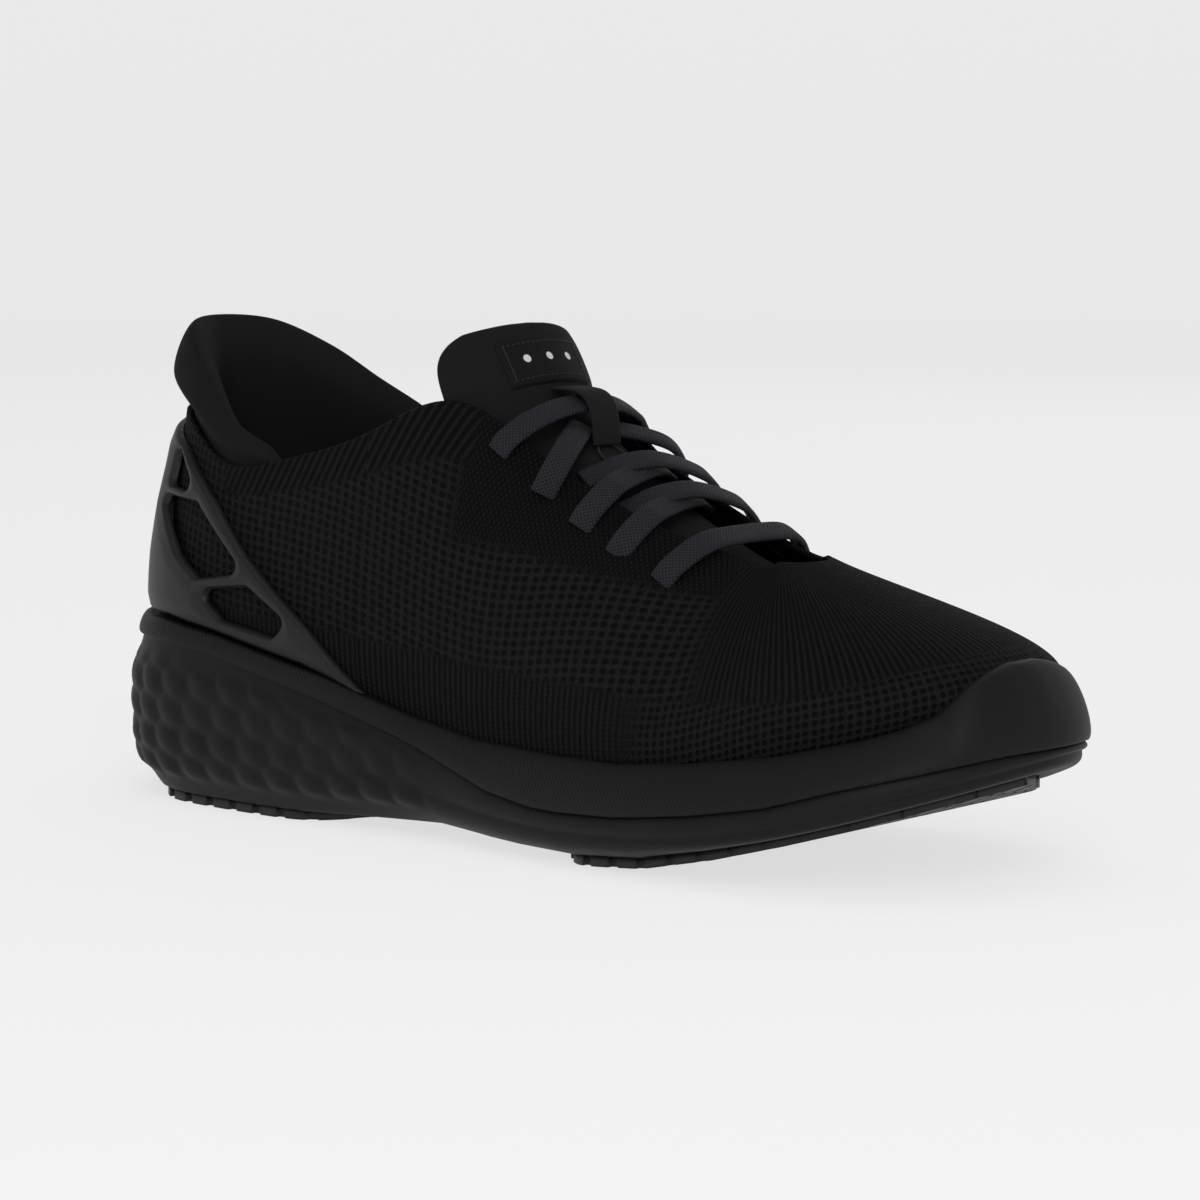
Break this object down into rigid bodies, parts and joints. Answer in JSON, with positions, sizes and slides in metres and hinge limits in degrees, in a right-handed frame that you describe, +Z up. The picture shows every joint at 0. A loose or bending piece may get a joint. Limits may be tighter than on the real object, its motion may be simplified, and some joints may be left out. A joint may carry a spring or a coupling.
{
  "type": "running shoe",
  "caption": "Right-foot knitted running shoe with a sprung heel cage, padded heel collar, laced instep, foam midsole and rubber outsole.",
  "frame": {"origin": "on the ground, under the middle of the shoe's box", "axes": "+X to the toe, +Y to the inner side of the foot, +Z up"},
  "size_m": [0.3, 0.1084, 0.1292],
  "materials": {
    "outsole_rubber": "moulded matt",
    "midsole_foam": "moulded foam skin, satin",
    "board": "non-woven",
    "padding_foam": "open-cell foam",
    "lining_cloth": "brushed mesh",
    "knit": "flat-bed knit",
    "stiffener": "thermoplastic-coated cloth",
    "cage_plastic": "injection-moulded matt",
    "collar_fabric": "smooth warp knit",
    "label_tape": "woven tape",
    "lace_braid": "flat braid"
  },
  "bodies": {
    "shoe_base": {"outsole_heel": "outsole_rubber", "outsole_forefoot": "outsole_rubber", "midsole": "midsole_foam", "strobel_board": "board", "insole_foam": "padding_foam", "insole_topcloth": "lining_cloth", "knit_upper": "knit", "knit_heel": "knit", "toe_puff": "stiffener", "vamp_lining": "lining_cloth", "heel_lining": "lining_cloth", "eyestay_backing_outer": "stiffener", "eyestay_backing_inner": "stiffener", "heel_cage": "cage_plastic", "lace_keeper": "collar_fabric", "lace": "lace_braid"},
    "heel_collar": {"collar_cover": "collar_fabric", "collar_foam": "padding_foam"},
    "tongue_top": {"tongue_shell": "collar_fabric", "tongue_foam": "padding_foam", "tongue_lining": "lining_cloth", "tongue_label": "label_tape"}
  },
  "joints": [
    {"name": "heel_press", "type": "hinge", "parent": "shoe_base", "child": "heel_collar", "pos_m": [-0.042, 0, 0.098], "axis": [0, -1, 0], "range_deg": [0, 14], "stiffness_Nm_per_rad": 12, "deforming": ["knit_heel", "heel_lining", "heel_cage"]},
    {"name": "tongue_flap", "type": "hinge", "parent": "shoe_base", "child": "tongue_top", "pos_m": [-0.006, 0, 0.11], "axis": [0, 1, 0], "range_deg": [-5, 24], "stiffness_Nm_per_rad": 0.5, "deforming": ["tongue_shell", "tongue_foam", "tongue_lining"]}
  ]
}
